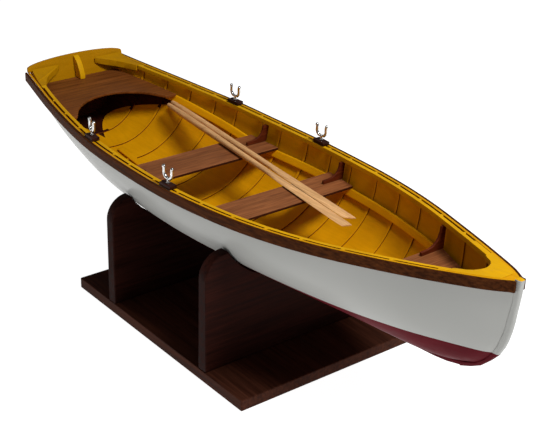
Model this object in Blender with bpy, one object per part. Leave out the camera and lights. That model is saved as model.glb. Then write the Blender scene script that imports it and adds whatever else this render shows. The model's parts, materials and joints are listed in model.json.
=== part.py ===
# Display model of a whitehall rowboat on its two-cradle stand.
# The bow points along +X, port is +Y, up is +Z, and the base board stands on z = 0.
import math

import bmesh
import bpy
import numpy as np
from mathutils import Matrix, Vector

for old in list(bpy.data.objects):
    bpy.data.objects.remove(old, do_unlink=True)

# Driving dimensions, in millimetres
MM = 0.001
GAP = 0.3
SHIFT_X = 2.85
HULL_AFT = -352.0
HULL_FORE = 343.0
CAVITY_FORE = 333.0
PLANK = 2.4
RIB_THICK = 1.2
RIB_WIDE = 3.6
RAKE = math.tan(math.radians(12.0))
STEM_HALF = 2.5

# Lines of the hull: station x, then half breadth and sheer height
BREADTH = [
    (-352.0, 62.0), (-245.0, 83.9), (-140.0, 97.7), (-35.0, 100.2), (70.0, 93.0),
    (154.0, 77.2), (238.0, 49.4), (301.0, 24.6), (330.0, 11.5), (336.6, 7.5), (343.0, 3.4),
]
RABBET = [
    (-352.0, 115.0), (-320.0, 107.5), (-245.0, 97.5), (-105.0, 86.0), (70.0, 88.5), (200.0, 92.5),
    (238.0, 92.5), (266.0, 94.0), (290.0, 98.0), (308.0, 104.6), (320.0, 113.2), (330.5, 127.5),
    (337.0, 144.0), (340.5, 160.0), (343.0, 178.0),
]
FULLNESS = [
    (-352.0, 1.35, 2.13), (-210.0, 1.78, 2.13), (-70.0, 2.15, 1.96), (70.0, 2.6, 1.5),
    (175.0, 2.5, 1.7), (266.0, 2.9, 1.9), (350.0, 1.65, 1.63),
]

# Stem and keel: outer face, from the stem head down and aft to the heel
STEM_FACE = [
    (349.3, 201.4), (348.8, 194.9), (348.2, 187.1), (347.3, 179.0), (346.2, 170.8), (345.3, 161.5),
    (343.6, 151.0), (341.0, 140.6), (338.2, 132.8), (333.2, 123.4), (325.4, 114.4), (316.6, 105.8),
    (306.2, 99.7), (294.9, 95.6),
]
KEEL_FACE = [
    (294.3, 95.4), (278.6, 91.2), (264.0, 88.9), (234.0, 86.1), (100.0, 80.5), (-100.0, 77.0),
    (-332.0, 77.0),
]

SEAT_THICK = 3.0
OARLOCK_X = [-158.5, -12.8]
RIB_X = [
    -308.0, -269.4, -231.5, -191.6, -156.8, -112.5, -81.3, -36.3, 2.5, 37.9, 80.8, 121.1, 159.4,
    200.0, 243.5, 284.8,
]


def table(rows, x, column=1):
    """Smooth curve through a table of stations (cubic Hermite with averaged slopes)."""
    xs = np.array([r[0] for r in rows])
    ys = np.array([r[column] for r in rows])
    d = np.diff(ys) / np.diff(xs)
    m = np.zeros(len(xs))
    m[0], m[-1] = d[0], d[-1]
    for i in range(1, len(xs) - 1):
        if d[i - 1] * d[i] > 0:
            w1 = 2 * (xs[i + 1] - xs[i]) + (xs[i] - xs[i - 1])
            w2 = (xs[i + 1] - xs[i]) + 2 * (xs[i] - xs[i - 1])
            m[i] = (w1 + w2) / (w1 / d[i - 1] + w2 / d[i])
    k = int(np.clip(np.searchsorted(xs, x) - 1, 0, len(xs) - 2))
    h = xs[k + 1] - xs[k]
    t = float(np.clip((x - xs[k]) / h, 0.0, 1.0))
    return float(
        ys[k] * (2 * t**3 - 3 * t**2 + 1) + ys[k + 1] * (3 * t**2 - 2 * t**3)
        + h * m[k] * (t**3 - 2 * t**2 + t) + h * m[k + 1] * (t**3 - t**2)
    )


# Sheer line: height amidships, then its rise with the first, second and third power of x / SHEER_SPAN
SHEER_SPAN = 700.0
SHEER = (171.38, 21.49, 73.92, -1.33)


def sheer(x):
    """Height of the top edge of the planking."""
    s = x / SHEER_SPAN
    return SHEER[0] + SHEER[1] * s + SHEER[2] * s**2 + SHEER[3] * s**3


def lean(x):
    """How far a section leans forward for each millimetre below the sheer."""
    t = min(max((x - HULL_AFT) / 110.0, 0.0), 1.0)
    return RAKE * (1.0 - t * t * (3.0 - 2.0 * t))


def outer_section(x):
    """Half section of the outer face at a station, as ROWS points from sheer to rabbet."""
    top, low, half = sheer(x), table(RABBET, x), table(BREADTH, x)
    p, q = table(FULLNESS, x, 1), table(FULLNESS, x, 2)
    t = np.sin(np.linspace(0.0, 1.0, 161) * math.pi / 2)
    y = STEM_HALF + (half - STEM_HALF) * np.maximum(1.0 - t**p, 0.0) ** (1.0 / q)
    z = top - (top - low) * t
    s = np.concatenate([[0.0], np.cumsum(np.hypot(np.diff(y), np.diff(z)))])
    at = np.linspace(0.0, s[-1], ROWS)
    return np.stack([np.interp(at, s, y), np.interp(at, s, z)], 1)


# Stations of the planking; every piece inside or outside it follows the same facets
ROWS = 12
CAVITY_X = list(np.linspace(HULL_AFT, 250.0, 19)) + [268, 285, 300, 312, 321, 328, CAVITY_FORE]
STATION_X = CAVITY_X + [338.0, HULL_FORE]
SECTIONS = [outer_section(x) for x in STATION_X]
MOVED = {}


def station(i, off):
    """Section at station i moved inward by off, square to each facet, ending at y = 0."""
    key = (i, round(off, 4))
    if key in MOVED:
        return MOVED[key]
    p = SECTIONS[i]
    if off <= 0.0:
        out = p.copy()
    else:
        d = np.diff(p, axis=0)
        d /= np.linalg.norm(d, axis=1)[:, None]
        n = np.stack([d[:, 1], -d[:, 0]], 1)
        out = np.zeros_like(p)
        out[0] = p[0] + off * n[0] - (off * n[0][1] / d[0][1]) * d[0]
        for j in range(1, len(p) - 1):
            m = (n[j - 1] + n[j]) / (1.0 + float(n[j - 1] @ n[j]))
            out[j] = p[j] + off * m
        e = p[-1] + off * n[-1]
        out[-1] = e - (e[0] / min(d[-1][0], -1e-6)) * d[-1]
        for j in range(1, len(p)):
            if out[j][0] <= 0.0 and out[j - 1][0] > 0.0:
                f = out[j - 1][0] / (out[j - 1][0] - out[j][0])
                out[j:] = out[j - 1] + f * (out[j] - out[j - 1])
                out[j:, 0] = 0.0
                break
    MOVED[key] = out
    return out


def girth(x, off=0.0, drop=0.0):
    """Rows of the half section at x, as (x, y, z), cut off drop below the sheer."""
    k = int(np.clip(np.searchsorted(STATION_X, x) - 1, 0, len(STATION_X) - 2))
    f = (x - STATION_X[k]) / (STATION_X[k + 1] - STATION_X[k])
    rows = []
    for a, b in zip(station(k, off), station(k + 1, off)):
        pa = (STATION_X[k] + lean(STATION_X[k]) * (sheer(STATION_X[k]) - a[1]), a[0], a[1])
        pb = (STATION_X[k + 1] + lean(STATION_X[k + 1]) * (sheer(STATION_X[k + 1]) - b[1]), b[0], b[1])
        rows.append(tuple((1 - f) * u + f * v for u, v in zip(pa, pb)))
    if drop > 0.0:
        g = drop / (rows[0][2] - rows[1][2])
        rows[0] = tuple((1 - g) * u + g * v for u, v in zip(rows[0], rows[1]))
    return rows


def inside(x, z, off):
    """Half breadth at a point's x and height, off millimetres inside the outer face."""
    xs, ys = [], []
    for i, u in enumerate(STATION_X):
        p = station(i, off)
        ys.append(float(np.interp(z, p[::-1, 1], p[::-1, 0], left=0.0)))
        xs.append(u + lean(u) * (sheer(u) - z))
    return float(np.interp(x, xs, ys))


# Collections and finishes
boat = bpy.data.collections.new("whitehall_rowboat_model")
bpy.context.scene.collection.children.link(boat)

FINISH = {
    "white_paint": ((0.80, 0.80, 0.77), 0.35, 0.0),
    "yellow_paint": ((0.70, 0.42, 0.01), 0.5, 0.0),
    "dark_wood": ((0.10, 0.035, 0.018), 0.45, 0.0),
    "thwart_wood": ((0.25, 0.10, 0.04), 0.5, 0.0),
    "oar_wood": ((0.65, 0.38, 0.18), 0.5, 0.0),
    "stand_wood": ((0.03, 0.012, 0.008), 0.5, 0.0),
    "bright_metal": ((0.75, 0.75, 0.75), 0.15, 1.0),
}


def finish_of(kind):
    mat = bpy.data.materials.get(kind)
    if mat is None:
        mat = bpy.data.materials.new(kind)
        mat.use_nodes = True
        shader = mat.node_tree.nodes["Principled BSDF"]
        colour, rough, metal = FINISH[kind]
        shader.inputs["Base Color"].default_value = (*colour, 1.0)
        shader.inputs["Roughness"].default_value = rough
        shader.inputs["Metallic"].default_value = metal
    return mat


def add(name, bm, kind, origin=(0.0, 0.0, 0.0)):
    """Turn a bmesh in millimetres of the hull frame into a named object."""
    bmesh.ops.remove_doubles(bm, verts=bm.verts, dist=0.02)
    bmesh.ops.recalc_face_normals(bm, faces=bm.faces)
    o = Vector((origin[0] + SHIFT_X, origin[1], origin[2])) * MM
    bm.transform(Matrix.Translation(-o) @ Matrix.Scale(MM, 4) @ Matrix.Translation((SHIFT_X, 0, 0)))
    mesh = bpy.data.meshes.new(name)
    bm.to_mesh(mesh)
    bm.free()
    obj = bpy.data.objects.new(name, mesh)
    obj.location = o
    mesh.materials.append(finish_of(kind))
    boat.objects.link(obj)
    return obj


def loft(bm, rings, closed=True, caps=True):
    """Faces between rings of equal length, with the ends closed."""
    rows = [[bm.verts.new(p) for p in ring] for ring in rings]
    n = len(rows[0])
    for a, b in zip(rows, rows[1:]):
        for j in range(n if closed else n - 1):
            k = (j + 1) % n
            bm.faces.new((a[j], a[k], b[k], b[j]))
    if caps:
        bm.faces.new(rows[0][::-1])
        bm.faces.new(rows[-1])
    return rows


def board(outline, thick, place=None):
    """A flat board from a plan outline: filled 2D curve, extruded, made a mesh."""
    curve = bpy.data.curves.new("outline", "CURVE")
    curve.dimensions = "2D"
    curve.fill_mode = "BOTH"
    curve.extrude = thick / 2.0
    line = curve.splines.new("POLY")
    line.points.add(len(outline) - 1)
    for point, (u, v) in zip(line.points, outline):
        point.co = (u, v, 0.0, 1.0)
    line.use_cyclic_u = True
    temp = bpy.data.objects.new("outline", curve)
    bpy.context.scene.collection.objects.link(temp)
    graph = bpy.context.evaluated_depsgraph_get()
    mesh = bpy.data.meshes.new_from_object(temp.evaluated_get(graph))
    bm = bmesh.new()
    bm.from_mesh(mesh)
    bmesh.ops.remove_doubles(bm, verts=bm.verts, dist=0.01)
    bpy.data.objects.remove(temp, do_unlink=True)
    bpy.data.curves.remove(curve)
    bpy.data.meshes.remove(mesh)
    if place is not None:
        bm.transform(place)
    return bm


def frame_at(x, y, z, across, up):
    """Matrix that lays a board's plan axes along two directions at a point."""
    u = Vector(across).normalized()
    v = Vector(up).normalized()
    w = u.cross(v)
    m = Matrix((u, v, w)).transposed().to_4x4()
    m.translation = (x, y, z)
    return m


def mirror_y(points):
    return [(p[0], -p[1], p[2]) for p in points]


def arc(cx, cy, r, a0, a1, n):
    """Points of a circle arc, angles in degrees."""
    return [
        (cx + r * math.cos(math.radians(a0 + (a1 - a0) * i / n)),
         cy + r * math.sin(math.radians(a0 + (a1 - a0) * i / n)))
        for i in range(n + 1)
    ]


# Hull planking: one open shell, lofted through stations
bm = bmesh.new()
outer = []
for x in STATION_X:
    half = girth(x)
    outer.append([bm.verts.new(p) for p in half + mirror_y(half)[::-1]])
inner = []
for x in CAVITY_X:
    half = girth(x, PLANK)
    inner.append([bm.verts.new(p) for p in half + mirror_y(half)[-2::-1]])
for a, b in zip(outer, outer[1:]):
    for j in range(2 * ROWS - 1):
        bm.faces.new((a[j], a[j + 1], b[j + 1], b[j]))
for a, b in zip(inner, inner[1:]):
    for j in range(2 * ROWS - 2):
        bm.faces.new((a[j], a[j + 1], b[j + 1], b[j]))
last = len(CAVITY_X) - 1
for i in range(last):
    for s in (0, -1):
        bm.faces.new((outer[i][s], outer[i + 1][s], inner[i + 1][s], inner[i][s]))
bm.faces.new(inner[last])
bm.faces.new((
    outer[last][0], inner[last][0], inner[last][-1], outer[last][-1],
    outer[last + 1][-1], outer[last + 1][0],
))
bm.faces.new((outer[-2][0], outer[-2][-1], outer[-1][-1], outer[-1][0]))
bm.faces.new(outer[-1])
for j in range(ROWS - 1):
    bm.faces.new((outer[0][j], outer[0][j + 1], inner[0][j + 1], inner[0][j]))
    bm.faces.new((outer[0][-1 - j], outer[0][-2 - j], inner[0][-2 - j], inner[0][-1 - j]))
bm.faces.new((outer[0][ROWS - 1], outer[0][ROWS], inner[0][ROWS - 1]))
add("hull_planking", bm, "white_paint")

# Stem: fore face measured, aft face along the ends of the planks
def rabbet_line(x):
    return (x + lean(x) * (sheer(x) - table(RABBET, x)), table(RABBET, x))


def clear_of(points, gap):
    """Move a polyline to its right by gap (outward from the hull, going forward)."""
    out = []
    for i, p in enumerate(points):
        a = points[max(i - 1, 0)]
        b = points[min(i + 1, len(points) - 1)]
        d = np.array([b[0] - a[0], b[1] - a[1]])
        d /= np.linalg.norm(d)
        out.append((p[0] + gap * d[1], p[1] - gap * d[0]))
    return out


def cut_line(points, x0, x1):
    """The part of a polyline from x0 to x1, with its ends cut square."""
    xs = [p[0] for p in points]
    zs = [p[1] for p in points]
    ends = [(x0, float(np.interp(x0, xs, zs))), (x1, float(np.interp(x1, xs, zs)))]
    return [ends[0]] + [p for p in points if x0 < p[0] < x1] + [ends[1]]


back = clear_of([rabbet_line(x) for x in STATION_X], 0.42)
edge = cut_line(back, 294.9, back[-1][0])
head = [(HULL_FORE + 0.4, sheer(HULL_FORE) + 0.9)]
outline = edge + head + STEM_FACE
bm = board(outline, 2 * STEM_HALF, frame_at(0, 0, 0, (1, 0, 0), (0, 0, 1)))
add("stem", bm, "white_paint")

# Keel with its skeg and the sternpost that ends it
edge = cut_line(back, back[0][0], 294.3)
outline = edge + KEEL_FACE + [(edge[0][0] - 1.0, edge[0][1])]
bm = board(outline, 2 * STEM_HALF, frame_at(0, 0, 0, (1, 0, 0), (0, 0, 1)))
add("keel", bm, "white_paint")

# Transom: fits inside the ends of the planks and stands above them, with two ears
def transom_point(y, z):
    return (y, (z - sheer(HULL_AFT)) / math.cos(math.atan(RAKE)))


top = sheer(HULL_AFT)
half = station(0, PLANK + GAP + 0.1)
side = [(float(y), float(z)) for y, z in half[1:] if y > 0.05]
side += [(0.0, float(half[-1][1]))]
ear = table(BREADTH, HULL_AFT) + 0.6
crown = [(ear * math.cos(math.radians(a)), top + 4.9 + 7.4 * math.sin(math.radians(a)))
         for a in range(0, 91, 10)]
right = [(ear, top + 0.5)] + crown
under = [(float(half[0][0]), top + 0.5)] + side
right = under[::-1] + right
full = right + [(-y, z) for y, z in right[-2:0:-1]]
raked = frame_at(HULL_AFT, 0, top, (0, 1, 0), (-RAKE, 0, 1))
push = Matrix.Translation((1.75, 0, 0))
bm = board([transom_point(y, z) for y, z in full], 3.5, push @ raked)
add("transom", bm, "yellow_paint")

# Rubrails along the sheer outside
RAIL_OUT = 2.6
RAIL_DEEP = 10.0


RAIL_FORE = {"port": 346.5, "starboard": 345.6}


def rail_ring(x):
    z1, z0 = sheer(x), sheer(x) - RAIL_DEEP
    y1 = inside(x, z1 - 0.01, 0.0) + GAP
    y1 = max(y1, inside(x, z0, 0.0) + GAP, STEM_HALF + GAP)
    return [(x, y1, z1), (x, y1 + RAIL_OUT, z1), (x, y1 + RAIL_OUT, z0), (x, y1, z0)]


for side, sign in (("port", 1), ("starboard", -1)):
    bm = bmesh.new()
    rail_x = [HULL_AFT - 1.5] + STATION_X[:-1] + [HULL_FORE - 0.2, RAIL_FORE[side]]
    rings = [rail_ring(x) for x in rail_x]
    loft(bm, [[(p[0], sign * p[1], p[2]) for p in r] for r in rings])
    add("rubrail_" + side, bm, "dark_wood")

# Inwales, each with its row of spacer blocks against the planking, one at the head of each rib
SLOT = 1.7
INWALE_WIDE = 4.0
INWALE_DEEP = 5.0
INWALE_AFT = -312.0
INWALE_FORE = 290.4
SPACER_HALF = 1.8
FORE_BLOCK = {"port": 262.0, "starboard": 283.0}


def inwale_ring(x):
    z1, z0 = sheer(x), sheer(x) - INWALE_DEEP
    y1 = min(inside(x, z1 - 0.01, PLANK), inside(x, z0, PLANK)) - GAP - SLOT
    return [(x, y1, z1), (x, y1 - INWALE_WIDE, z1), (x, y1 - INWALE_WIDE, z0), (x, y1, z0)]


for side, sign in (("port", 1), ("starboard", -1)):
    blocks = [(x - SPACER_HALF, x + SPACER_HALF) for x in RIB_X[1:-1]]
    blocks = [(INWALE_AFT, RIB_X[0] + SPACER_HALF)] + blocks + [(FORE_BLOCK[side], INWALE_FORE)]
    inwale_x = []
    solid = []
    for a, b in blocks:
        if inwale_x:
            inwale_x += list(np.linspace(inwale_x[-1], a, 4)[1:-1])
        solid.append(len(inwale_x))
        inwale_x += [a, b]
    bm = bmesh.new()
    rows = loft(bm, [[(p[0], sign * p[1], p[2]) for p in inwale_ring(x)] for x in inwale_x])
    faces = []
    for i in solid:
        want = {rows[i][0], rows[i][3], rows[i + 1][0], rows[i + 1][3]}
        faces += [f for f in bm.faces if set(f.verts) == want]
    grown = bmesh.ops.extrude_discrete_faces(bm, faces=faces)["faces"]
    moved = {v for f in grown for v in f.verts}
    for v in moved:
        v.co.y += sign * SLOT
    add("inwale_" + side, bm, "yellow_paint")

# Ribs: thin bent strips from gunwale to gunwale on the planking
RIB_OFF = PLANK + GAP + 0.15
RIB_IN = RIB_OFF + RIB_THICK
for i, x in enumerate(RIB_X):
    low_a = girth(x - RIB_WIDE / 2, RIB_OFF, 6.0)
    low_b = girth(x + RIB_WIDE / 2, RIB_OFF, 6.0)
    high_a = girth(x - RIB_WIDE / 2, RIB_IN, 6.0)
    high_b = girth(x + RIB_WIDE / 2, RIB_IN, 6.0)
    rings = [list(ring) for ring in zip(low_a, low_b, high_b, high_a)]
    rings += [mirror_y(r) for r in rings[-2::-1]]
    bm = bmesh.new()
    loft(bm, rings)
    add("rib_%02d" % (i + 1), bm, "yellow_paint")


# Keelson strip along the middle of the floor, over the ribs
def keelson_ring(x):
    foot = girth(x, RIB_IN)[-1]
    z = foot[2] + GAP + 0.3
    while inside(x, z, RIB_IN + GAP) < 4.0:
        z += 0.2
    return [(x, 4.0, z), (x, -4.0, z), (x, -4.0, z + 1.6), (x, 4.0, z + 1.6)]


bm = bmesh.new()
loft(bm, [keelson_ring(x) for x in np.linspace(-255.0, 262.0, 16)])
add("keelson", bm, "yellow_paint")

# Seat risers that carry the seats: parallel to each seat, sloping between them
RISER_TALL = 7.0
RISER_WIDE = 2.4

# Seats: aft end, fore end, height of the top face at each end
SEATS = {
    "stern_sheets": (-346.0, -246.0, 165.4, 158.6),
    "thwart_aft": (-123.0, -77.0, 145.8, 145.8),
    "thwart_fore": (9.0, 49.0, 148.4, 148.4),
    "bow_seat": (204.8, 258.0, 156.0, 156.0),
}


def seat_top(seat, x):
    a, b, z_a, z_b = SEATS[seat]
    return z_a + (z_b - z_a) * (x - a) / (b - a)


def riser_top(x):
    knots = []
    for seat, (a, b, z_a, z_b) in SEATS.items():
        knots += [(a - 2.0, z_a - SEAT_THICK - GAP), (b + 2.0, z_b - SEAT_THICK - GAP)]
    return float(np.interp(x, [k[0] for k in knots], [k[1] for k in knots]))


def riser_ring(x):
    z1 = riser_top(x)
    z0 = z1 - RISER_TALL
    a = inside(x, z1, RIB_IN + GAP)
    b = inside(x, z0, RIB_IN + GAP)
    return [(x, a, z1), (x, a - RISER_WIDE, z1), (x, b - RISER_WIDE, z0), (x, b, z0)]


riser_x = sorted(set(list(np.linspace(-322.0, 266.0, 22)) + [-244.0, -125.0, -75.0, 7.0, 51.0, 202.8]))
for side, sign in (("port", 1), ("starboard", -1)):
    bm = bmesh.new()
    loft(bm, [[(p[0], sign * p[1], p[2]) for p in riser_ring(x)] for x in riser_x])
    add("seat_riser_" + side, bm, "yellow_paint")


# Seats: two thwarts, the bow seat and the stern sheets
def seat_board(name, kind):
    aft, fore, z, _ = SEATS[name]
    xs = np.linspace(aft, fore, 5)
    edge = [(x, inside(x, z - SEAT_THICK, RIB_IN + GAP + 0.1)) for x in xs]
    outline = edge + [(x, -y) for x, y in edge[::-1]]
    bm = board(outline, SEAT_THICK, Matrix.Translation((0, 0, z - SEAT_THICK / 2)))
    add(name, bm, kind)
    return z


z_aft = seat_board("thwart_aft", "thwart_wood")
z_fore = seat_board("thwart_fore", "thwart_wood")
z_bow = seat_board("bow_seat", "thwart_wood")

# The stern sheets slope with the sheer and have a hollow front edge
STERN_MARGIN = 3.5
STERN_BAY = [(-246.0, 60.0), (-249.5, 56.8), (-256.5, 52.4), (-264.5, 46.8), (-272.5, 38.4), (-279.8, 26.6),
             (-284.4, 13.8), (-286.0, 0.0)]
AFT, FORE, Z_AFT, Z_FORE = SEATS["stern_sheets"]
slope = (Z_FORE - Z_AFT) / (FORE - AFT)
transom_face = HULL_AFT + 3.5 + GAP + 0.4
aft_edge = transom_face + RAKE * (top - Z_AFT + SEAT_THICK)
xs = np.linspace(aft_edge, FORE, 8)
edge = [(x, inside(x, seat_top("stern_sheets", x) - SEAT_THICK, RIB_IN + GAP) - STERN_MARGIN) for x in xs]
bay = STERN_BAY + [(x, -y) for x, y in STERN_BAY[-2::-1]]
outline = edge + bay + [(x, -y) for x, y in edge[::-1]]
shear = Matrix(((1, 0, 0, 0), (0, 1, 0, 0), (slope, 0, 1, 0), (0, 0, 0, 1)))
lift = Matrix.Translation((0, 0, Z_AFT - SEAT_THICK / 2 - slope * AFT))
bm = board(outline, SEAT_THICK, lift @ shear)
add("stern_sheets", bm, "dark_wood")

# Knees that stand on the seats and reach up to the inwale
KNEE_THICK = 2.6


KNEE_TOE = 3.6
KNEE_HEAD = 4.5


def seat_knee(name, x, z_seat, sign, reach):
    z0 = z_seat + GAP
    z1 = sheer(x) - INWALE_DEEP - GAP
    a = inside(x, z0, RIB_IN + GAP + 0.1)
    a = min(a, inside(x + KNEE_THICK / 2, z0, RIB_IN + GAP + 0.1))
    b = min(inside(x, z1, RIB_IN + GAP + 0.1), inside(x + 2, z1, RIB_IN + GAP + 0.1))
    tall = z1 - z0
    arc = [math.radians(t) for t in range(0, 91, 15)]
    curve = [(a - reach + (reach - KNEE_HEAD) * math.sin(t) ** 0.8,
              z0 + KNEE_TOE + (tall - KNEE_TOE) * (1 - math.cos(t)) ** 1.2) for t in arc]
    outline = [(a, z0), (b, z1)] + curve[::-1] + [(a - reach, z0)]
    outline = [(sign * y, z) for y, z in outline]
    bm = board(outline, KNEE_THICK, frame_at(x, 0, 0, (0, 1, 0), (0, 0, 1)))
    add(name, bm, "dark_wood")


for side, sign in (("port", 1), ("starboard", -1)):
    seat_knee("thwart_knee_aft_" + side, -100.0, z_aft, sign, 26.0)
    seat_knee("thwart_knee_fore_" + side, 29.0, z_fore, sign, 26.0)
    seat_knee("bow_seat_knee_" + side, 210.5, z_bow, sign, 28.0)

# Breasthook in the bow and the two quarter knees at the transom
def deck_board(name, edge, inner_edge, kind, thick, rise=lambda x: 0.0):
    """Horizontal knee whose top follows the sheer: a lofted plate."""
    outline = edge + inner_edge
    bm = bmesh.new()
    topv = [bm.verts.new((x, y, sheer(x) + rise(x))) for x, y in outline]
    lowv = [bm.verts.new((x, y, sheer(x) + rise(x) - thick)) for x, y in outline]
    n = len(outline)
    for j in range(n):
        k = (j + 1) % n
        bm.faces.new((topv[j], topv[k], lowv[k], lowv[j]))
    bm.faces.new(topv)
    bm.faces.new(lowv[::-1])
    add(name, bm, kind)


def deck_side(x, thick):
    z = sheer(x)
    return min(inside(x, z - 0.01, PLANK + GAP), inside(x, z - thick, PLANK + GAP)) - 0.05


HOOK_THICK = 5.0
HOOK_AFT = 291.0
hook_x = [HOOK_AFT, 297.0, 304.0, 312.0, 321.0, 328.0, CAVITY_FORE - 0.5]
HOOK_BAY = [(309.0, 0.0), (308.3, 4.0), (305.6, 9.5), (301.2, 13.6), (296.0, 16.2)]
edge = [(x, deck_side(x, HOOK_THICK)) for x in hook_x]
tip = edge[0][1] - 7.0
edge = edge + [(x, -y) for x, y in edge[::-1]]
notch = [(x, -y) for x, y in HOOK_BAY[:0:-1]] + HOOK_BAY
notch = [(HOOK_AFT, -tip)] + notch + [(HOOK_AFT, tip)]
deck_board("breasthook", edge, notch, "yellow_paint", HOOK_THICK)

QUARTER_THICK = 6.8
QUARTER_RISE = 5.2
QUARTER_BAY = [(0.0, 24.0), (3.5, 29.0), (8.0, 36.5), (13.5, 45.0), (20.0, 51.5), (27.0, 56.0), (35.0, 59.5)]


def quarter_rise(x):
    t = min(max((x - HULL_AFT - 4.0) / 26.0, 0.0), 1.0)
    return QUARTER_RISE * (1.0 - t) ** 2


for side, sign in (("port", 1), ("starboard", -1)):
    x0 = transom_face + RAKE * QUARTER_THICK
    xs = list(np.linspace(x0, INWALE_AFT - GAP - 0.3, 7))
    edge = [(x, sign * deck_side(x, QUARTER_THICK)) for x in xs]
    bend = [(x0 + u, sign * v) for u, v in QUARTER_BAY if x0 + u < xs[-1] - 1.0]
    bend.append((xs[-1], sign * (abs(edge[-1][1]) - 6.5)))
    deck_board("quarter_knee_" + side, edge, bend[::-1], "yellow_paint", QUARTER_THICK, quarter_rise)

# Stern knee on the centre line, from the transom down to the stern sheets
STERN_KNEE = 6.5
z1 = top + 10.5
foot = transom_face + RAKE * (top - Z_AFT)
z0 = seat_top("stern_sheets", foot + 11.0) + GAP
crest = transom_face + RAKE * (top - z1)
outline = [(foot, seat_top("stern_sheets", foot) + GAP), (foot + 11.0, z0), (foot + 10.2, z0 + 5.0),
           (foot + 8.3, z0 + 10.0), (foot + 5.4, z0 + 15.5), (foot + 1.8, z0 + 20.5),
           (crest + 3.2, z1 - 1.0), (crest, z1)]
bm = board(outline, STERN_KNEE, frame_at(0, 0, 0, (1, 0, 0), (0, 0, 1)))
add("stern_knee", bm, "yellow_paint")

# Oarlock blocks on the gunwale, and the bright oarlocks that turn in them
BLOCK = (17.0, 8.6, 3.6)
BLOCK_IN = 4.3
PIN_IN = 4.4
FORK_TURN = {"aftport": 7, "aftstarboard": -12, "foreport": 10, "forestarboard": 5}
FORK_R = 1.25
for place, x in (("aft", OARLOCK_X[0]), ("fore", OARLOCK_X[1])):
    for side, sign in (("port", 1), ("starboard", -1)):
        side_y = inside(x, sheer(x) - 0.01, 0.0)
        y = sign * (side_y - PIN_IN)
        z = max(sheer(x - 8.5), sheer(x + 8.5)) + GAP
        turn = math.degrees(math.atan2(table(BREADTH, x + 10) - table(BREADTH, x - 10), 20.0))
        spin = Matrix.Rotation(math.radians(sign * turn), 4, "Z")
        bm = bmesh.new()
        bmesh.ops.create_cube(bm, size=1.0)
        bmesh.ops.scale(bm, vec=BLOCK, verts=bm.verts)
        bm.transform(Matrix.Translation((x, sign * (side_y - BLOCK_IN), z + BLOCK[2] / 2)) @ spin)
        cut = bmesh.new()
        bmesh.ops.create_cone(cut, segments=16, radius1=1.3, radius2=1.3, depth=20.0, cap_ends=True)
        cut.transform(Matrix.Translation((x, y, z)))
        cutter_mesh = bpy.data.meshes.new("block_hole")
        cut.transform(Matrix.Scale(MM, 4) @ Matrix.Translation((SHIFT_X, 0, 0)))
        cut.to_mesh(cutter_mesh)
        cut.free()
        cutter = bpy.data.objects.new("block_hole_%s_%s" % (place, side), cutter_mesh)
        cutter.hide_render = True
        cutter.display_type = "WIRE"
        holes = bpy.data.collections.get("cutters")
        if holes is None:
            holes = bpy.data.collections.new("cutters")
            bpy.context.scene.collection.children.link(holes)
        holes.objects.link(cutter)
        block = add("oarlock_block_%s_%s" % (place, side), bm, "dark_wood")
        tool = block.modifiers.new("pin_hole", "BOOLEAN")
        tool.operation = "DIFFERENCE"
        tool.solver = "EXACT"
        tool.object = cutter

        # Fork: a bent round bar with a pin below it, in the plane that it is turned to
        face = Matrix.Rotation(math.radians(FORK_TURN[place + side]), 4, "Z")
        bm = bmesh.new()
        base = z + BLOCK[2] + GAP
        horn = [(6.5, 17.2), (5.9, 14.9), (5.8, 12.3), (6.0, 9.8), (5.3, 7.2), (3.4, 5.1)]
        line = [(-u, v) for u, v in horn] + [(0.0, 4.2)] + horn[::-1]
        rings = []
        for i, (u, v) in enumerate(line):
            a, b = line[max(i - 1, 0)], line[min(i + 1, len(line) - 1)]
            d = Vector((b[0] - a[0], 0, b[1] - a[1])).normalized()
            n = Vector((-d.z, 0, d.x))
            ring = []
            for k in range(8):
                t = 2 * math.pi * k / 8
                ring.append(tuple(Vector((u, 0, v)) + FORK_R * (math.cos(t) * n + math.sin(t) * Vector((0, 1, 0)))))
            rings.append(ring)
        loft(bm, rings)
        pin = bmesh.new()
        rings = [[(r * math.cos(2 * math.pi * k / 8), r * math.sin(2 * math.pi * k / 8), h) for k in range(8)]
                 for r, h in ((1.0, -3.4), (1.0, 0.0), (2.0, 0.0), (2.0, 0.8), (1.2, 1.4), (1.2, 4.2))]
        loft(pin, rings)
        parts = []
        for piece in (bm, pin):
            bmesh.ops.recalc_face_normals(piece, faces=piece.faces)
            m = bpy.data.meshes.new("oarlock_piece")
            piece.transform(Matrix.Scale(MM, 4))
            piece.to_mesh(m)
            piece.free()
            parts.append(bpy.data.objects.new("oarlock_piece", m))
            bpy.context.scene.collection.objects.link(parts[-1])
        join = parts[0].modifiers.new("join", "BOOLEAN")
        join.operation = "UNION"
        join.solver = "EXACT"
        join.object = parts[1]
        bpy.context.view_layer.update()
        graph = bpy.context.evaluated_depsgraph_get()
        fused = bpy.data.meshes.new_from_object(parts[0].evaluated_get(graph))
        bm = bmesh.new()
        bm.from_mesh(fused)
        bm.transform(Matrix.Translation((x, y, base)) @ face @ Matrix.Scale(1000.0, 4))
        for piece in parts:
            bpy.data.objects.remove(piece, do_unlink=True)
        add("oarlock_%s_%s" % (place, side), bm, "bright_metal", (x, y, base))

# Oars that lie side by side on the seats
BLADE = 134.0
SHOULDER = 118.0
GRIP_R = 3.0
LOOM_R = 3.7
SHAFT_R = 3.4
NECK_R = 3.2


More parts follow.
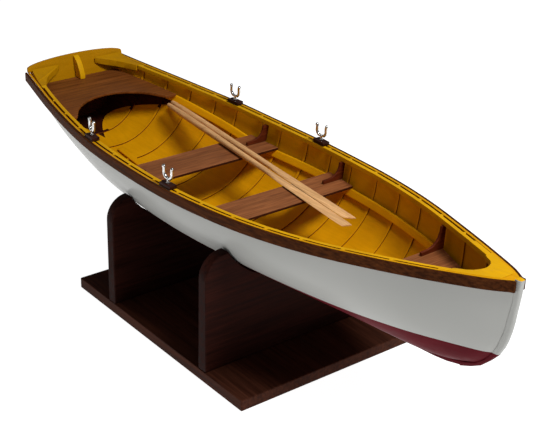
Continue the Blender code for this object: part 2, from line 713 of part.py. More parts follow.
def oar(name, tail, tip, slant):
    """Lofted from handle to blade; slant is how far the end of the blade leans to its port side."""
    d = Vector((tip[0] - tail[0], tip[1] - tail[1], 0.0))
    length = d.length
    d.normalize()
    n = Vector((-d.y, d.x, 0.0))
    neck = length - BLADE
    body = [(0.0, 2.2, 2.2), (2.0, GRIP_R, GRIP_R), (14.0, GRIP_R, GRIP_R), (22.0, LOOM_R, LOOM_R),
            (SHOULDER, LOOM_R, LOOM_R), (SHOULDER + 1.5, SHAFT_R, SHAFT_R), (neck - 8.0, NECK_R, NECK_R),
            (neck + 4.0, 3.8, 2.1), (neck + 18.0, 4.9, 1.5), (length - 60.0, 5.3, 1.1),
            (length - 22.0, 5.6, 0.9), (length - 7.0, 5.6, 0.8), (length, 4.9, 0.7)]
    # The shaft lies on the aft edge of the aft thwart, the blade on that of the fore thwart
    near, far = SEATS["thwart_aft"][0], SEATS["thwart_fore"][0]
    z_near = z_aft + GAP + 0.02 + SHAFT_R
    s_far = (far - tail[0]) / d.x
    z_far = z_fore + GAP + 0.05 + float(np.interp(s_far, [p[0] for p in body], [p[2] for p in body]))
    climb = (z_far - z_near) / (far - near)
    rings = []
    for s, wide, tall in body:
        c = Vector((tail[0], tail[1], 0.0)) + s * d
        c.z = z_near + climb * (c.x - near)
        lean = slant / wide if s > length - 10.0 else 0.0
        across = wide * (n + lean * d)
        rings.append([tuple(c + math.cos(2 * math.pi * k / 12) * across
                            + Vector((0, 0, tall * math.sin(2 * math.pi * k / 12)))) for k in range(12)])
    bm = bmesh.new()
    loft(bm, rings)
    add(name, bm, "oar_wood")


oar("oar_port", (-247.0, 66.8), (107.4, 32.1), 3.4)
oar("oar_starboard", (-243.1, 58.9), (118.1, 18.7), 1.6)

# Stand: a base board and two uprights cut out to the hull
BASE = (292.0, 224.0, 12.0)
BASE_X = -14.7
bm = bmesh.new()
bmesh.ops.create_cube(bm, size=1.0)
bmesh.ops.scale(bm, vec=BASE, verts=bm.verts)
bmesh.ops.translate(bm, vec=(BASE_X, 0, BASE[2] / 2), verts=bm.verts)
add("stand_base", bm, "stand_wood")

UPRIGHT_X = (-95.4, 67.4)
UPRIGHT_THICK = 12.0
CORNER = 24.0
CORNER_Z = {"stand_upright_aft": 106.0, "stand_upright_fore": 110.5}
KEEL_LINE = KEEL_FACE[::-1]
for name, x in (("stand_upright_aft", UPRIGHT_X[0]), ("stand_upright_fore", UPRIGHT_X[1])):
    faces = [np.array(girth(x + d))[:, 1:] for d in (-UPRIGHT_THICK / 2, 0.0, UPRIGHT_THICK / 2)]
    rows = np.stack([np.max([f[:, 0] for f in faces], axis=0), np.min([f[:, 1] for f in faces], axis=0)], 1)
    d = np.diff(rows, axis=0)
    d /= np.linalg.norm(d, axis=1)[:, None]
    n = np.stack([-d[:, 1], d[:, 0]], 1)
    rest = [rows[0] + 0.5 * n[0]]
    for j in range(1, len(rows) - 1):
        rest.append(rows[j] + 0.5 * (n[j - 1] + n[j]) / (1.0 + float(n[j - 1] @ n[j])))
    rest = np.array(rest)
    half = BASE[1] / 2
    corner = []
    for y, z in arc(half - CORNER, CORNER_Z[name], CORNER, 0, 90, 10):
        if y > np.interp(z, rest[::-1, 1], rest[::-1, 0]) + 0.8:
            corner.append((y, z))
    z_top = corner[-1][1]
    cut = [(float(np.interp(z_top, rest[::-1, 1], rest[::-1, 0])), z_top)]
    cut += [(float(y), float(z)) for y, z in rest if z < z_top - 0.5]
    keel_low = min(table(KEEL_LINE, x - 6), table(KEEL_LINE, x + 6)) - GAP
    cut.append((STEM_HALF + 0.4, float(rows[-1][1]) - 0.8))
    cut.append((STEM_HALF + 0.4, keel_low))
    right = [(half, BASE[2] + GAP)] + corner + cut
    outline = right + [(-y, z) for y, z in right[::-1]]
    bm = board(outline, UPRIGHT_THICK, frame_at(x, 0, 0, (0, 1, 0), (0, 0, 1)))
    add(name, bm, "stand_wood")
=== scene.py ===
import json
import math

import bmesh
import bpy
from mathutils import Matrix, Vector


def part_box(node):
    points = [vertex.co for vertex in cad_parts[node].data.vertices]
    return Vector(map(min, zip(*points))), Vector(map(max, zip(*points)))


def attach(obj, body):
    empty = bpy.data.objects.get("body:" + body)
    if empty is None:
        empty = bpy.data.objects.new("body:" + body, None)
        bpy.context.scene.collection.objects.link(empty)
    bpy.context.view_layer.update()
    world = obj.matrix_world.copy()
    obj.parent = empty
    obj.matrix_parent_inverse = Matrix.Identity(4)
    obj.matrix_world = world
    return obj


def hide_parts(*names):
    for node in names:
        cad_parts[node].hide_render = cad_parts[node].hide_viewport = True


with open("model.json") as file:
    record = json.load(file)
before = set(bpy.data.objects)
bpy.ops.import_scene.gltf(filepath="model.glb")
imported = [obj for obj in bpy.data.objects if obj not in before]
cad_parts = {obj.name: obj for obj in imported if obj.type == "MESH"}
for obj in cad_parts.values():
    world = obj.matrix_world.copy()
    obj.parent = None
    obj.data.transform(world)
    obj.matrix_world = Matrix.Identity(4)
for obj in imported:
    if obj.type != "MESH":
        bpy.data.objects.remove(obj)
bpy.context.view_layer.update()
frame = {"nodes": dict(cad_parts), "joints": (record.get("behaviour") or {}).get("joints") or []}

# Camera
# It stands off the starboard bow, where the photograph was taken from, with the whole model in
# view. The horizon is tipped a little, as it is there.
AZIMUTH = math.radians(50.955)
ELEVATION = math.radians(26.159)
ROLL = math.radians(1.8447)
back = Vector((math.sin(AZIMUTH) * math.cos(ELEVATION),
               -math.cos(AZIMUTH) * math.cos(ELEVATION),
               math.sin(ELEVATION)))
level = Vector((math.cos(AZIMUTH), math.sin(AZIMUTH), 0.0))
upright = back.cross(level)
tipped_level = math.cos(ROLL) * level + math.sin(ROLL) * upright
tipped_upright = -math.sin(ROLL) * level + math.cos(ROLL) * upright
camera = bpy.data.objects.new("camera", bpy.data.cameras.new("camera"))
camera.matrix_world = Matrix((tipped_level, tipped_upright, back)).transposed().to_4x4()
camera.location = (0.92412, -0.71381, 0.68322)
camera.data.sensor_width = 36.0
camera.data.lens = 82.556
camera.data.clip_start = 0.01
bpy.context.scene.collection.objects.link(camera)
bpy.context.scene.camera = camera

# Stand
# A base board and two uprights cut out to the hull, of 12 mm board with slightly eased edges. The
# uprights stand on the base, and all of it is stained so dark that the grain is only a faint sheen.
BOARD_EASING = 0.0011
STAND_GRAIN = 300.0
STAND_GLOSS = 0.04

GRAIN_STRETCH = 0.045
PORE_DEPTH = 0.00006
NOISE_MIDDLE = (0.3, 0.7)
MIX_A, MIX_B, MIX_RESULT = 6, 7, 2        # the colour sockets of a Mix node


def material(name, roughness, **sockets):
    """A Principled material, the constant values set on the shader itself."""
    made = bpy.data.materials.new(name)
    made.use_nodes = True
    shader = made.node_tree.nodes["Principled BSDF"]
    shader.inputs["Roughness"].default_value = roughness
    for socket, value in sockets.items():
        shader.inputs[socket.replace("_", " ")].default_value = value
    return made, made.node_tree, shader


def stretched(along, amount):
    """The scale of a pattern that is drawn out along one axis."""
    scale = [1.0, 1.0, 1.0]
    scale["xyz".index(along)] = amount
    return scale


def noise(tree, scale, stretch=(1.0, 1.0, 1.0), detail=4.0, offset=(0.0, 0.0, 0.0)):
    """Noise on Object coordinates; scale is in features per metre."""
    place = tree.nodes.new("ShaderNodeTexCoord")
    mapping = tree.nodes.new("ShaderNodeMapping")
    mapping.inputs["Scale"].default_value = stretch
    mapping.inputs["Location"].default_value = offset
    texture = tree.nodes.new("ShaderNodeTexNoise")
    texture.inputs["Scale"].default_value = scale
    texture.inputs["Detail"].default_value = detail
    tree.links.new(place.outputs["Object"], mapping.inputs["Vector"])
    tree.links.new(mapping.outputs["Vector"], texture.inputs["Vector"])
    return texture.outputs["Fac"]


def two_tone(tree, value, low, high, ends=NOISE_MIDDLE):
    """A colour that turns from low to high as the value goes from the first end to the second."""
    made = tree.nodes.new("ShaderNodeValToRGB")
    for element, at, colour in zip(made.color_ramp.elements, ends, (low, high)):
        element.position = at
        element.color = (*colour, 1.0)
    tree.links.new(value, made.inputs["Fac"])
    return made.outputs["Color"]


def spread(tree, value, low, high):
    """The middle of a noise, stretched to run from low to high."""
    made = tree.nodes.new("ShaderNodeMapRange")
    made.inputs["From Min"].default_value, made.inputs["From Max"].default_value = NOISE_MIDDLE
    made.inputs["To Min"].default_value = low
    made.inputs["To Max"].default_value = high
    tree.links.new(value, made.inputs["Value"])
    return made.outputs["Result"]


def multiplied(tree, amount, colour, other):
    """A colour multiplied by another, which is a socket or three numbers; amount is how much."""
    made = tree.nodes.new("ShaderNodeMix")
    made.data_type = "RGBA"
    made.blend_type = "MULTIPLY"
    made.inputs["Factor"].default_value = amount
    tree.links.new(colour, made.inputs[MIX_A])
    if isinstance(other, tuple):
        made.inputs[MIX_B].default_value = (*other, 1.0)
    else:
        tree.links.new(other, made.inputs[MIX_B])
    return made.outputs[MIX_RESULT]


def bumped(tree, shader, height, distance):
    """Relief, distance in metres."""
    made = tree.nodes.new("ShaderNodeBump")
    made.inputs["Distance"].default_value = distance
    made.inputs["Strength"].default_value = 1.0
    tree.links.new(height, made.inputs["Height"])
    tree.links.new(made.outputs["Normal"], shader.inputs["Normal"])


def stained_wood(name, dark, light, along, grain, roughness, gloss=0.12):
    """Wood: streaks of two shades along the grain, with broad bands and fine pores."""
    made, tree, shader = material(name, roughness, Specular_IOR_Level=gloss)
    stretch = stretched(along, GRAIN_STRETCH)
    streaks = noise(tree, grain, stretch, 6.0)
    bands = noise(tree, grain / 9.0, stretch, 2.0, offset=(0.3, 0.7, 0.1))
    pores = noise(tree, grain * 3.0, stretch, 2.0, offset=(0.9, 0.2, 0.5))
    colour = two_tone(tree, streaks, dark, light, ends=(0.32, 0.68))
    shade = two_tone(tree, bands, (0.72, 0.70, 0.68), (1.12, 1.1, 1.08))
    speck = two_tone(tree, pores, (0.6, 0.58, 0.56), (1.0, 1.0, 1.0), ends=(0.34, 0.46))
    colour = multiplied(tree, 0.8, colour, shade)
    colour = multiplied(tree, 0.5, colour, speck)
    tree.links.new(colour, shader.inputs["Base Color"])
    worn = spread(tree, streaks, roughness - 0.08, roughness + 0.1)
    tree.links.new(worn, shader.inputs["Roughness"])
    bumped(tree, shader, pores, PORE_DEPTH)
    return made


WELD = 0.000001
CORNER = math.radians(28.0)
CREASE = math.radians(35.0)
SMALL_FACE = 0.00006        # square metres; what is smaller belongs to a rounded edge or end


def copy_of(node):
    """A copy of a CAD solid, its loose triangles merged into one skin."""
    bm = bmesh.new()
    bm.from_mesh(frame["nodes"][node].data)
    bmesh.ops.remove_doubles(bm, verts=bm.verts, dist=WELD)
    return bm


def sharp_edges(bm, angle):
    """The edges whose two faces turn by more than the angle."""
    return [edge for edge in bm.edges if edge.is_manifold and edge.calc_face_angle(0.0) > angle]


def made_flat(bm):
    """Joins the triangles of each flat face."""
    bmesh.ops.dissolve_limit(bm, angle_limit=math.radians(0.5), verts=bm.verts, edges=bm.edges)


def fitted(bm, name, body, finish, node):
    """Makes the mesh an object that stands for its CAD node and moves with a body."""
    mesh = bpy.data.meshes.new(name)
    bm.to_mesh(mesh)
    bm.free()
    mesh.materials.append(finish)
    made = bpy.data.objects.new(name, mesh)
    bpy.context.scene.collection.objects.link(made)
    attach(made, body)
    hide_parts(node)
    return made


def sawn_board(node, name, finish, easing, meets=None, let_out=0.0004):
    """A board or block: sharp edges rounded over by the easing, flat faces left flat.

    Faces for which meets is true are let out until they touch the piece beside them.
    """
    bm = copy_of(node)
    if meets:
        for vert in {vert for face in bm.faces if meets(face) for vert in face.verts}:
            vert.co += let_out * vert.normal
    made_flat(bm)
    bmesh.ops.bevel(bm, geom=sharp_edges(bm, CORNER), offset=easing, segments=3, profile=0.5,
                    affect="EDGES", material=-1, clamp_overlap=True)
    for face in bm.faces:
        face.smooth = face.calc_area() < SMALL_FACE
    for edge in bm.edges:
        edge.smooth = edge.calc_face_angle(0.0) < CREASE
    return fitted(bm, name, "boat", finish, node)


stand_stain = stained_wood("stand_stain", (0.036, 0.0105, 0.0055), (0.075, 0.024, 0.013),
                           "x", STAND_GRAIN, 0.6, STAND_GLOSS)
# The uprights take a darker copy of the stand's stain, as painted shade on their faces.
upright_stain_painted_shade = stained_wood("upright_stain_painted_shade", (0.013, 0.0030, 0.0018), (0.030, 0.0072, 0.0045),
                             "y", STAND_GRAIN, 0.6, STAND_GLOSS)
sawn_board("stand_base", "base_board", stand_stain, BOARD_EASING)
sawn_board("stand_upright_aft", "upright_aft", upright_stain_painted_shade, BOARD_EASING)
sawn_board("stand_upright_fore", "upright_fore", upright_stain_painted_shade, BOARD_EASING)

# Keel and stem
# Straight-grained hardwood along the centre line, under the same paint as the hull: white above
# the waterline and dark red below it. The head of the stem is yellow, like the hook behind it.
KEEL_EASING = 0.0006
STEM_EASING = 0.0012
STEM_LET_OUT = 0.0015
STEM_HEAD = 0.2000
WATER_LEVEL, WATER_SWEEP = 0.1155, 0.0097
SWEEP_AFT, SWEEP_FORE, SWEEP_STEPS = 0.14, 0.33, 10
HULL_END = 0.4
WHITE, RED, YELLOW = 0, 1, 2
BRUSH_STRETCH = 0.06


def waterline(x):
    """Height of the edge of the red paint: level amidships and swept up toward the bow."""
    along = min(max((x - SWEEP_AFT) / (SWEEP_FORE - SWEEP_AFT), 0.0), 1.0)
    return WATER_LEVEL + WATER_SWEEP * along * along * (3.0 - 2.0 * along)


def topside_white(tree):
    clouds = noise(tree, 9.0, detail=3.0)
    return two_tone(tree, clouds, (0.425, 0.428, 0.405), (0.455, 0.455, 0.432))


def bottom_red(tree):
    mottled = noise(tree, 38.0, detail=5.0, offset=(0.2, 0.1, 0.4))
    return two_tone(tree, mottled, (0.085, 0.0035, 0.008), (0.115, 0.005, 0.011))


def deck_yellow(tree):
    clouds = noise(tree, 22.0, detail=4.0, offset=(0.5, 0.0, 0.2))
    return two_tone(tree, clouds, (0.66, 0.335, 0.0022), (0.78, 0.41, 0.003))


def sprayed_paint(name, colours, roughness, coat, gloss):
    """Sprayed paint, rubbed down: faint clouding and hardly any relief."""
    made, tree, shader = material(name, roughness, Coat_Weight=coat, Coat_Roughness=0.2,
                                  Specular_IOR_Level=gloss)
    tree.links.new(colours(tree), shader.inputs["Base Color"])
    rubbed = noise(tree, 260.0, stretched("x", BRUSH_STRETCH), 3.0)
    worn = spread(tree, rubbed, roughness - 0.05, roughness + 0.07)
    tree.links.new(worn, shader.inputs["Roughness"])
    bumped(tree, shader, rubbed, 0.000012)
    return made


topsides = sprayed_paint("topside_white", topside_white, 0.35, 0.12, 0.2)
bottom = sprayed_paint("bottom_red", bottom_red, 0.45, 0.0, 0.04)
deck = sprayed_paint("deck_yellow", deck_yellow, 0.42, 0.0, 0.06)


def cut_along(bm, faces, place, facing):
    """Cuts the faces where a plane passes through them."""
    edges = dict.fromkeys(edge for face in faces for edge in face.edges)
    verts = dict.fromkeys(vert for face in faces for vert in face.verts)
    bmesh.ops.bisect_plane(bm, geom=[*verts, *edges, *faces], dist=WELD, plane_co=place,
                           plane_no=facing)


def painted_at_the_waterline(made):
    """Cuts the white faces along the waterline and makes those below it red."""
    mesh = made.data
    if made.modifiers:
        graph = bpy.context.evaluated_depsgraph_get()
        mesh = bpy.data.meshes.new_from_object(made.evaluated_get(graph))
        made.modifiers.clear()
        made.data = mesh
    bm = bmesh.new()
    bm.from_mesh(mesh)
    step = (SWEEP_FORE - SWEEP_AFT) / SWEEP_STEPS
    stations = [SWEEP_AFT + step * number for number in range(SWEEP_STEPS + 1)]
    for aft, fore in zip([-HULL_END] + stations, stations + [HULL_END]):
        near = [face for face in bm.faces if aft <= face.calc_center_median().x < fore]
        rise = (waterline(fore) - waterline(aft)) / (fore - aft)
        cut_along(bm, near, (fore, 0.0, waterline(fore)), (-rise, 0.0, 1.0))
    for face in bm.faces:
        x, y, z = face.calc_center_median()
        if face.material_index == WHITE and z < waterline(x):
            face.material_index = RED
    bm.to_mesh(mesh)
    bm.free()


keel = sawn_board("keel", "keel_and_skeg", topsides, KEEL_EASING,
                  meets=lambda face: face.normal.z > 0.3 or face.normal.x < -0.6)
stem = sawn_board("stem", "stem_post", topsides, STEM_EASING,
                  meets=lambda face: face.normal.x < -0.25 or 0.25 < face.normal.z < 0.95,
                  let_out=STEM_LET_OUT)
for made in (keel, stem):
    made.data.materials.append(bottom)
    made.data.materials.append(deck)
    for face in made.data.polygons:
        on_top = face.normal.z > 0.6 and face.center.z > STEM_HEAD
        face.material_index = YELLOW if on_top else WHITE
    painted_at_the_waterline(made)

# Planking
# A smooth planked shell, sanded and filled so that no seam shows. It is white and red outside, and
# brushed yellow inside and along the top edge. Under the stern sheets a painted shadow in dark
# brown covers the faces above a slanting line.
PLANK_EASING = 0.0004
KEEL_HALF = 0.004
CAVITY_FORE = 0.3
SHEETS_FORE, SHEETS_UNDER, SHEETS_SLOPE = -0.247, 0.1535, -0.068
SHADOW_LEVEL, SHADOW_RISE = 0.1062, 0.52
PLANK_SHADOW = 3
SATIN = 0.42


def brushed_yellow(name, along, tone_and_shade=(1.0, 1.0, 1.0)):
    """Satin yellow paint: slight clouding and brush marks. The tone multiplies the colour: a hue for
    the inside, a darker copy as painted shade for the transom and corner knees, and a lighter copy as
    painted light for the risers.
    """
    made, tree, shader = material(name, SATIN, Specular_IOR_Level=0.06)
    brush = noise(tree, 330.0, stretched(along, BRUSH_STRETCH), 3.0)
    streak = two_tone(tree, brush, (0.90, 0.88, 0.86), (1.04, 1.04, 1.04))
    colour = multiplied(tree, 0.7, deck_yellow(tree), streak)
    colour = multiplied(tree, 1.0, colour, tone_and_shade)
    tree.links.new(colour, shader.inputs["Base Color"])
    tree.links.new(spread(tree, brush, SATIN - 0.06, SATIN + 0.1), shader.inputs["Roughness"])
    bumped(tree, shader, brush, 0.00004)
    return made


def bent_wood(node, name, finish, easing, levels):
    """A bent piece: sharp edges rounded over and the facets of its bend smoothed out."""
    bm = copy_of(node)
    bmesh.ops.join_triangles(bm, faces=bm.faces, angle_face_threshold=math.radians(40.0),
                             angle_shape_threshold=math.radians(60.0))
    bmesh.ops.bevel(bm, geom=sharp_edges(bm, CREASE), offset=easing, segments=2, profile=0.5,
                    affect="EDGES", material=-1, clamp_overlap=True)
    for face in bm.faces:
        face.smooth = True
    made = fitted(bm, name, "boat", finish, node)
    fair = made.modifiers.new("fair", "SUBSURF")
    fair.levels = levels
    fair.render_levels = levels
    return made


def in_painted_shadow(place):
    """Whether a place lies under the stern sheets and above the edge of the painted shadow."""
    x, y, z = place
    under = x < SHEETS_FORE and z < SHEETS_UNDER + SHEETS_SLOPE * (x - SHEETS_FORE)
    return under and z > SHADOW_LEVEL + SHADOW_RISE * abs(y)


def cut_painted_shadow(made, shadowed):
    """Cuts the faces along the edge of the painted shadow; beyond it, all but the first material
    takes the painted shadow.
    """
    bm = bmesh.new()
    bm.from_mesh(made.data)
    ends = [((SHEETS_FORE, 0.0, 0.0), (1.0, 0.0, 0.0)),
            ((SHEETS_FORE, 0.0, SHEETS_UNDER), (-SHEETS_SLOPE, 0.0, 1.0)),
            ((0.0, 0.0, SHADOW_LEVEL), (0.0, -SHADOW_RISE, 1.0)),
            ((0.0, 0.0, SHADOW_LEVEL), (0.0, SHADOW_RISE, 1.0))]
    for place, facing in ends:
        cut_along(bm, bm.faces[:], place, facing)
    for face in bm.faces:
        if face.material_index > 0 and in_painted_shadow(face.calc_center_median()):
            face.material_index = shadowed
    bm.to_mesh(made.data)
    bm.free()


inside_yellow = brushed_yellow("inside_yellow", "x", (0.97, 0.86, 0.6))
# Dark brown wood with grain: a painted shadow for the space under the stern sheets.
painted_shadow_under_sheets = stained_wood("painted_shadow_under_sheets", (0.022, 0.0030, 0.0004), (0.050, 0.0075, 0.0010),
                          "x", 300.0, 0.7)
planking = bent_wood("hull_planking", "planking", topsides, PLANK_EASING, 2)
planking.data.materials.append(bottom)
planking.data.materials.append(inside_yellow)
for face in planking.data.polygons:
    inside = face.normal.y * face.center.y < 0.0 and abs(face.center.y) > KEEL_HALF
    fore_end = face.normal.x < -0.7 and face.center.x > CAVITY_FORE
    face.material_index = YELLOW if face.normal.z > 0.35 or inside or fore_end else WHITE
painted_at_the_waterline(planking)
# Under the stern sheets the faces above a slanting line take the painted shadow.
planking.data.materials.append(painted_shadow_under_sheets)
cut_painted_shadow(planking, PLANK_SHADOW)

# Transom
# A raked board let in between the ends of the planks, its crowned top standing above the gunwale
# with an ear at each side. Its yellow is a darker copy of the paint, as painted shade, and under the
# sheets its inside takes the painted shadow.
TRANSOM_EASING = 0.0005
OUTSIDE, TRANSOM_SHADOW, INSIDE = 0, 1, 2
# A darker copy of the yellow, as painted shade for the weaker light at the stern.
transom_yellow_painted_shade = brushed_yellow("transom_yellow_painted_shade", "y", (0.66, 0.58, 0.4))
transom = sawn_board("transom", "transom_board", transom_yellow_painted_shade, TRANSOM_EASING)
transom.data.materials.append(painted_shadow_under_sheets)
transom.data.materials.append(transom_yellow_painted_shade)
for face in transom.data.polygons:
    face.material_index = INSIDE if face.normal.x > 0.5 else OUTSIDE
# Under the sheets the inside of the transom takes the painted shadow.
cut_painted_shadow(transom, TRANSOM_SHADOW)

# Ribs and keelson
# Thin steamed strips bent from gunwale to gunwale at even steps, with a flat strip along the
# middle of the floor over them. They are painted with the inside; the fore and aft sides of the
# ribs are dark brown as painted shade, and under the stern sheets they take the painted shadow.
RIB_COUNT = 16
RIB_EASING = 0.0002
KEELSON_EASING = 0.0003
SHADED_SIDE, RIB_SHADOW = 1, 2
# Dark brown: painted shade for the sides of the ribs and the walls of the slots in the inwales.
rib_edge = stained_wood("rib_edge", (0.13, 0.034, 0.002), (0.22, 0.062, 0.003), "y", 620.0, 0.6)
for number in range(1, RIB_COUNT + 1):
    rib = bent_wood("rib_%02d" % number, "bent_rib_%02d" % number, inside_yellow,
                    RIB_EASING, 1)
    rib.data.materials.append(rib_edge)
    rib.data.materials.append(painted_shadow_under_sheets)
    for face in rib.data.polygons:
        # Under the stern sheets the rib takes the painted shadow.
        if in_painted_shadow(face.center):
            face.material_index = RIB_SHADOW
        # The fore and aft sides of each rib take the painted shade.
        elif abs(face.normal.x) > 0.8:
            face.material_index = SHADED_SIDE
bent_wood("keelson", "keelson_strip", inside_yellow, KEELSON_EASING, 1)

# Seat risers
# A square strip along each side that the seats rest on. It is fastened to the ribs, and its
# yellow is a lighter copy of the paint, as painted light on its lit top.
RISER_EASING = 0.0004
# A lighter copy of the yellow, as painted light.
riser_yellow_painted_light = brushed_yellow("riser_yellow_painted_light", "x", (1.22, 1.12, 0.8))
for side in ("port", "starboard"):
    bent_wood("seat_riser_" + side, "riser_" + side, riser_yellow_painted_light, RISER_EASING, 1)

# Inwales
# A rail along the inside of each gunwale, held off the planking by short spacer blocks, which
# leaves a row of open slots. The sides and ends of the slots are dark brown, as painted shade.
INWALE_EASING = 0.0003
rail_yellow = brushed_yellow("rail_yellow", "x")
for side, outboard in (("port", 1.0), ("starboard", -1.0)):
    rail = bent_wood("inwale_" + side, "inner_rail_" + side, rail_yellow,
                     INWALE_EASING, 1)
    rail.data.materials.append(rib_edge)
    for face in rail.data.polygons:
        # The faces toward the planking and the ends in the slots take the painted shade.
        slot_end = abs(face.normal.x) > 0.8 and face.normal.z < 0.4
        if slot_end or face.normal.y * outboard > 0.6:
            face.material_index = SHADED_SIDE

# Rubrails
# A dark varnished hardwood strip bent along the sheer on each side, outside the planking, with
# its edges eased.
RUBRAIL_EASING = 0.0004
rubrail_wood = stained_wood("rubrail_wood", (0.036, 0.0095, 0.002), (0.105, 0.031, 0.008),
                            "x", 520.0, 0.55, gloss=0.03)
for side in ("port", "starboard"):
    bent_wood("rubrail_" + side, "outer_rail_" + side, rubrail_wood, RUBRAIL_EASING, 1)

# Breasthook and knees of the gunwale
# Solid pieces sawn to the shape of the corners: one in the bow, two at the transom, and a knee
# that stands on the stern sheets against the transom. They meet the planking at their sides.
HOOK_EASING = 0.0004
STERN_KNEE_EASING = 0.0005


def side_face(face):
    return face.normal.y * face.calc_center_median().y > 0.0 and abs(face.normal.y) > 0.5


# The corner knees take a darker copy of the yellow, as painted shade for the weaker light at the
# stern.
knee_yellow_painted_shade = brushed_yellow("knee_yellow_painted_shade", "x", (0.70, 0.64, 0.5))
for node, name, paint in (("breasthook", "bow_hook", rail_yellow),
                          ("quarter_knee_port", "corner_knee_port", knee_yellow_painted_shade),
                          ("quarter_knee_starboard", "corner_knee_starboard", knee_yellow_painted_shade)):
    sawn_board(node, name, paint, HOOK_EASING, meets=side_face)
sawn_board("stern_knee", "transom_knee", rail_yellow, STERN_KNEE_EASING)

# Seats
# Stained boards with the grain across the boat: the two thwarts and the bow seat lie on the
# risers, and the stern sheets reach in from the transom, with a hollow front edge.
SEAT_EASING = 0.0006
thwart_stain = stained_wood("thwart_stain", (0.185, 0.058, 0.019), (0.35, 0.128, 0.044),
                            "y", 620.0, 0.5)
sheets_stain = stained_wood("sheets_stain", (0.125, 0.036, 0.007), (0.25, 0.080, 0.016),
                            "y", 420.0, 0.45)
# Dark brown: painted shade for the fore and aft sides of the thwarts.
thwart_side_shade = stained_wood("thwart_side_shade", (0.030, 0.0060, 0.002), (0.060, 0.014, 0.005),
                           "y", 620.0, 0.6)
for node, name in (("thwart_aft", "seat_aft"), ("thwart_fore", "seat_fore")):
    thwart = sawn_board(node, name, thwart_stain, SEAT_EASING)
    # The fore and aft sides of each thwart take the painted shade.
    thwart.data.materials.append(thwart_side_shade)
    for face in thwart.data.polygons:
        face.material_index = 1 if abs(face.normal.x) > 0.8 else 0
sawn_board("bow_seat", "seat_bow", thwart_stain, SEAT_EASING)
sawn_board("stern_sheets", "seat_stern", sheets_stain, SEAT_EASING)

# Seat knees
# Small sawn knees, stained dark, that stand on the ends of the seats and brace them to the sides,
# one at each end of each thwart and of the bow seat.
SEAT_KNEE_EASING = 0.0004
knee_stain = stained_wood("knee_stain", (0.070, 0.009, 0.002), (0.150, 0.028, 0.006),
                          "y", 520.0, 0.5)
for place in ("thwart_knee_aft", "thwart_knee_fore", "bow_seat_knee"):
    for side in ("port", "starboard"):
        sawn_board(place + "_" + side, place + "_brace_" + side, knee_stain,
                   SEAT_KNEE_EASING)

# Oarlock blocks
# Small blocks of dark hardwood, fastened on top of the gunwale, each with a hole for the pin of
# an oarlock.
BLOCK_EASING = 0.0005
OARLOCKS = ("aft_port", "aft_starboard", "fore_port", "fore_starboard")
block_stain = stained_wood("block_stain", (0.018, 0.004, 0.002), (0.050, 0.012, 0.006),
                           "x", 520.0, 0.4)
for place in OARLOCKS:
    sawn_board("oarlock_block_" + place, "gunwale_block_" + place, block_stain,
               BLOCK_EASING)

# Oarlocks
# Cast forks, polished and plated: a round shank with a collar, two horns bent up from it, and a
# small ball on the end of each horn. The pin below turns in the block.
PLATED_ROUGHNESS = 0.16
HORN_FULLNESS = 0.00045
HORN_ROOT = 0.004
HORN_END = 0.0009
BALL_RADIUS = 0.0018
BALL_DROP = 0.00182
TIP_DEPTH = 0.0006
AXIS_CLEAR = 0.002
plated, tree, shader = material("plated_metal", PLATED_ROUGHNESS, Metallic=1.0)
tarnish = noise(tree, 480.0, detail=4.0)
silver = two_tone(tree, tarnish, (0.56, 0.55, 0.53), (0.86, 0.85, 0.83), ends=(0.35, 0.6))
tree.links.new(silver, shader.inputs["Base Color"])
tree.links.new(spread(tree, tarnish, 0.12, 0.26), shader.inputs["Roughness"])
bumped(tree, shader, tarnish, 0.00004)
for place in OARLOCKS:
    node = "oarlock_" + place
    bm = copy_of(node)
    made_flat(bm)
    pivot = Vector([joint for joint in frame["joints"] if joint["child"] == node][0]["pos_m"])
    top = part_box(node)[1][2]
    for vert in bm.verts:
        if pivot.z + HORN_ROOT < vert.co.z < top - HORN_END:
            vert.co += HORN_FULLNESS * vert.normal
    tips = [vert.co - pivot for vert in bm.verts if vert.co.z > top - TIP_DEPTH]
    for side in (-1, 1):
        tip = [at for at in tips if at.to_2d().length > AXIS_CLEAR and side * (at.x + 0.2 * at.y) > 0]
        centre = pivot + sum(tip, Vector()) / len(tip)
        ball = bmesh.ops.create_uvsphere(bm, u_segments=16, v_segments=10, radius=BALL_RADIUS)
        bmesh.ops.translate(bm, vec=(centre.x, centre.y, top - BALL_DROP), verts=ball["verts"])
    for face in bm.faces:
        face.smooth = True
    fitted(bm, "fork_" + place, node, plated, node)

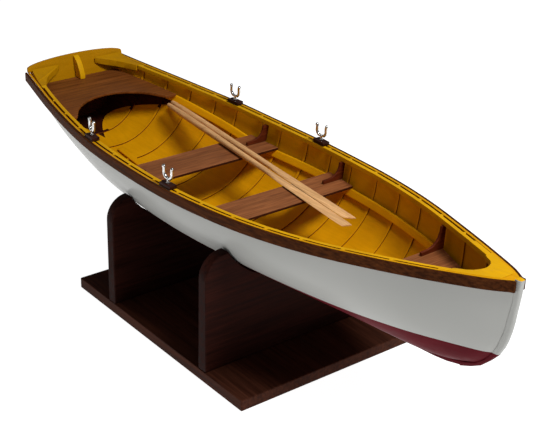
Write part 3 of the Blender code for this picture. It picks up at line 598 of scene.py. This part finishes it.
# Oars
# Turned looms that flatten into long straight blades, of pale bare wood with a light oil. The two
# lie loose on the thwarts, side by side.
OAR_EASING = 0.0002
oar_pine = stained_wood("oar_pine", (0.68, 0.36, 0.145), (0.93, 0.56, 0.26), "x", 700.0, 0.5)
for side in ("port", "starboard"):
    bent_wood("oar_" + side, "loose_oar_" + side, oar_pine, OAR_EASING, 2)

# Floor
# A plain pale surface a hair below the stand. It is bright enough of itself to look white behind
# the model, as a lit sheet of paper does.
FLOOR_HALF = 6.0
FLOOR_GAP = 0.0003
bm = bmesh.new()
bmesh.ops.create_grid(bm, x_segments=1, y_segments=1, size=FLOOR_HALF)
bmesh.ops.translate(bm, vec=(0.0, 0.0, -FLOOR_GAP), verts=bm.verts)
mesh = bpy.data.meshes.new("floor")
bm.to_mesh(mesh)
bm.free()
floor = bpy.data.objects.new("floor", mesh)
bpy.context.scene.collection.objects.link(floor)
floor_white, tree, shader = material("floor_white", 0.9, Emission_Color=(1.0, 1.0, 1.0, 1.0),
                                     Emission_Strength=0.97)
paper = two_tone(tree, noise(tree, 3.0), (0.34, 0.34, 0.34), (0.37, 0.37, 0.37))
tree.links.new(paper, shader.inputs["Base Color"])
mesh.materials.append(floor_white)

# Light
# One soft lamp high over the bow, a little to port, which leaves the stern in weaker light, and a
# faint glow from the room all round.
LAMP_PLACE = Vector((0.72, 0.10, 1.27))
LAMP_AIM = Vector((0.0, 0.0, 0.13))
lamp = bpy.data.objects.new("key", bpy.data.lights.new("key", "AREA"))
lamp.data.shape = "DISK"
lamp.data.size = 0.42
lamp.data.energy = 15.5
lamp.location = LAMP_PLACE
lamp.rotation_euler = (LAMP_AIM - LAMP_PLACE).to_track_quat("-Z", "Y").to_euler()
bpy.context.scene.collection.objects.link(lamp)
world = bpy.data.worlds.new("room")
world.use_nodes = True
glow = world.node_tree.nodes["Background"]
glow.inputs["Color"].default_value = (1.0, 1.0, 1.0, 1.0)
glow.inputs["Strength"].default_value = 0.15
bpy.context.scene.world = world
bpy.context.scene.view_settings.view_transform = "Standard"
